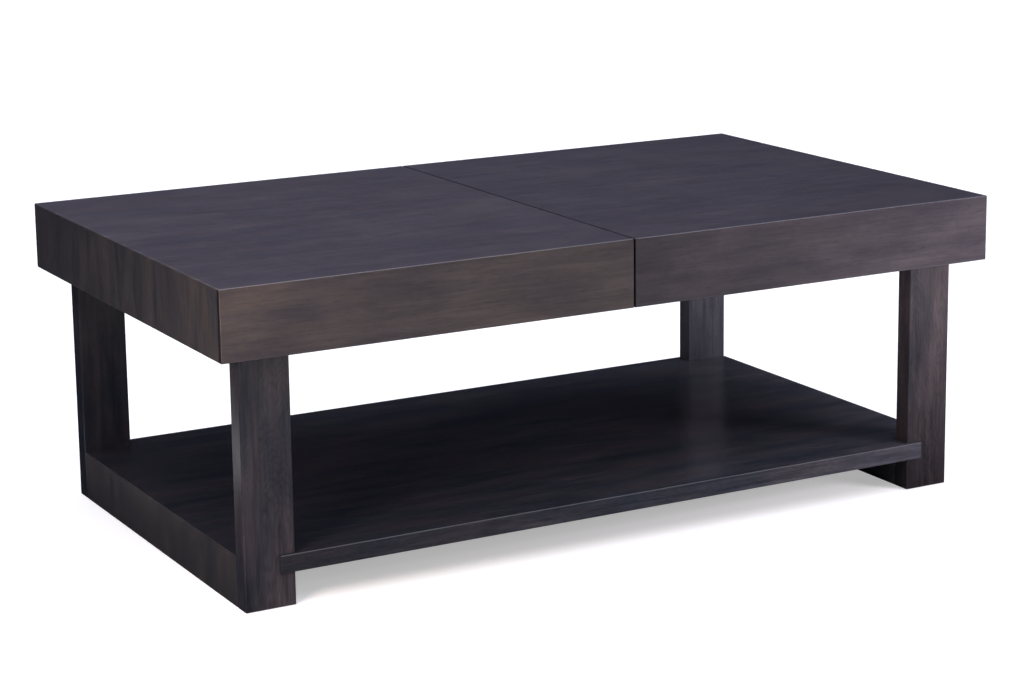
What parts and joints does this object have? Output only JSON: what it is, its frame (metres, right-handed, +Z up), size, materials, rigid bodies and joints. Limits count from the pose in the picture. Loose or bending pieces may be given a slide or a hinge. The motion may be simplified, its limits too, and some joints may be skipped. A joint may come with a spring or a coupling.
{
  "type": "lift top coffee table",
  "caption": "Rectangular coffee table with a box-shaped top split across the middle, whose halves lift up and forward over a storage case, on flat legs with a lower shelf.",
  "frame": {"origin": "on the floor under the middle of the table", "axes": "+X along the length to the right, +Y from the front to the back, +Z up"},
  "size_m": [1.29, 0.75, 0.47],
  "materials": {
    "apron_wood": "dark grey-brown stain, satin lacquer",
    "case_wood": "dark stain, matt",
    "dowel_wood": "plain beech",
    "glide_plastic": "matt",
    "insert_brass": "turned",
    "leg_wood": "dark brown stain, satin lacquer",
    "lift_metal": "black powder coat",
    "pad_rubber": "matt",
    "panel_board": "dark stain, matt",
    "rail_wood": "dark brown stain, satin lacquer",
    "shelf_wood": "dark brown stain, semi-gloss lacquer",
    "spring_steel": "oiled wire",
    "top_wood": "dark grey-brown stain, satin lacquer",
    "zinc_steel": "zinc plated"
  },
  "bodies": {
    "table_base": {"case_back_rail": "case_wood", "case_bottom_panel": "panel_board", "case_divider": "case_wood", "case_end_rail_left": "case_wood", "case_end_rail_right": "case_wood", "case_front_rail": "case_wood", "dowels": "dowel_wood", "floor_glides": "glide_plastic", "left_springs": "spring_steel", "leg_back_left": "leg_wood", "leg_back_right": "leg_wood", "leg_bolts_and_washers": "zinc_steel", "leg_front_left": "leg_wood", "leg_front_right": "leg_wood", "leg_inserts": "insert_brass", "lift_base_plate_left_inner": "lift_metal", "lift_base_plate_left_outer": "lift_metal", "lift_base_plate_right_inner": "lift_metal", "lift_base_plate_right_outer": "lift_metal", "lift_base_rivets": "zinc_steel", "lift_base_washers": "zinc_steel", "lift_plate_screws": "zinc_steel", "lift_stop_studs": "zinc_steel", "rest_pads": "pad_rubber", "right_springs": "spring_steel", "shelf_end_panel_left": "rail_wood", "shelf_end_panel_right": "rail_wood", "shelf_inner_rail_left": "rail_wood", "shelf_inner_rail_right": "rail_wood", "shelf_panel": "shelf_wood"},
    "left_top": {"left_back_apron": "apron_wood", "left_bracket_screws": "zinc_steel", "left_corner_blocks": "case_wood", "left_end_apron": "apron_wood", "left_front_apron": "apron_wood", "left_inner_top_bracket": "lift_metal", "left_outer_top_bracket": "lift_metal", "left_rear_top_rivets": "zinc_steel", "left_top_panel": "top_wood"},
    "left_front_arms": {"left_cross_tube": "lift_metal", "left_front_top_rivets": "zinc_steel", "left_inner_front_arm": "lift_metal", "left_outer_front_arm": "lift_metal"},
    "left_rear_arms": {"left_inner_rear_arm": "lift_metal", "left_outer_rear_arm": "lift_metal"},
    "right_top": {"right_back_apron": "apron_wood", "right_bracket_screws": "zinc_steel", "right_corner_blocks": "case_wood", "right_end_apron": "apron_wood", "right_front_apron": "apron_wood", "right_inner_top_bracket": "lift_metal", "right_outer_top_bracket": "lift_metal", "right_rear_top_rivets": "zinc_steel", "right_top_panel": "top_wood"},
    "right_front_arms": {"right_cross_tube": "lift_metal", "right_front_top_rivets": "zinc_steel", "right_inner_front_arm": "lift_metal", "right_outer_front_arm": "lift_metal"},
    "right_rear_arms": {"right_inner_rear_arm": "lift_metal", "right_outer_rear_arm": "lift_metal"}
  },
  "joints": [
    {"name": "left_lift", "type": "hinge", "parent": "table_base", "child": "left_front_arms", "pos_m": [-0.299, -0.185, 0.431], "axis": [1, 0, 0], "range_deg": [0, 130], "deforming": ["left_springs"]},
    {"name": "left_top_level", "type": "hinge", "parent": "left_front_arms", "child": "left_top", "pos_m": [-0.299, 0.045, 0.431], "axis": [1, 0, 0], "range_deg": [-130, 0]},
    {"name": "left_rear_arm_turn", "type": "hinge", "parent": "table_base", "child": "left_rear_arms", "pos_m": [-0.299, -0.12156, 0.40142], "axis": [1, 0, 0], "range_deg": [0, 130]},
    {"name": "right_lift", "type": "hinge", "parent": "table_base", "child": "right_front_arms", "pos_m": [0.299, -0.185, 0.431], "axis": [1, 0, 0], "range_deg": [0, 130], "deforming": ["right_springs"]},
    {"name": "right_top_level", "type": "hinge", "parent": "right_front_arms", "child": "right_top", "pos_m": [0.299, 0.045, 0.431], "axis": [1, 0, 0], "range_deg": [-130, 0]},
    {"name": "right_rear_arm_turn", "type": "hinge", "parent": "table_base", "child": "right_rear_arms", "pos_m": [0.299, -0.12156, 0.40142], "axis": [1, 0, 0], "range_deg": [0, 130]}
  ],
  "couplings": [
    {"joint": "left_top_level", "follows": "left_lift", "ratio": -1},
    {"joint": "left_rear_arm_turn", "follows": "left_lift", "ratio": 1},
    {"joint": "right_top_level", "follows": "right_lift", "ratio": -1},
    {"joint": "right_rear_arm_turn", "follows": "right_lift", "ratio": 1}
  ]
}
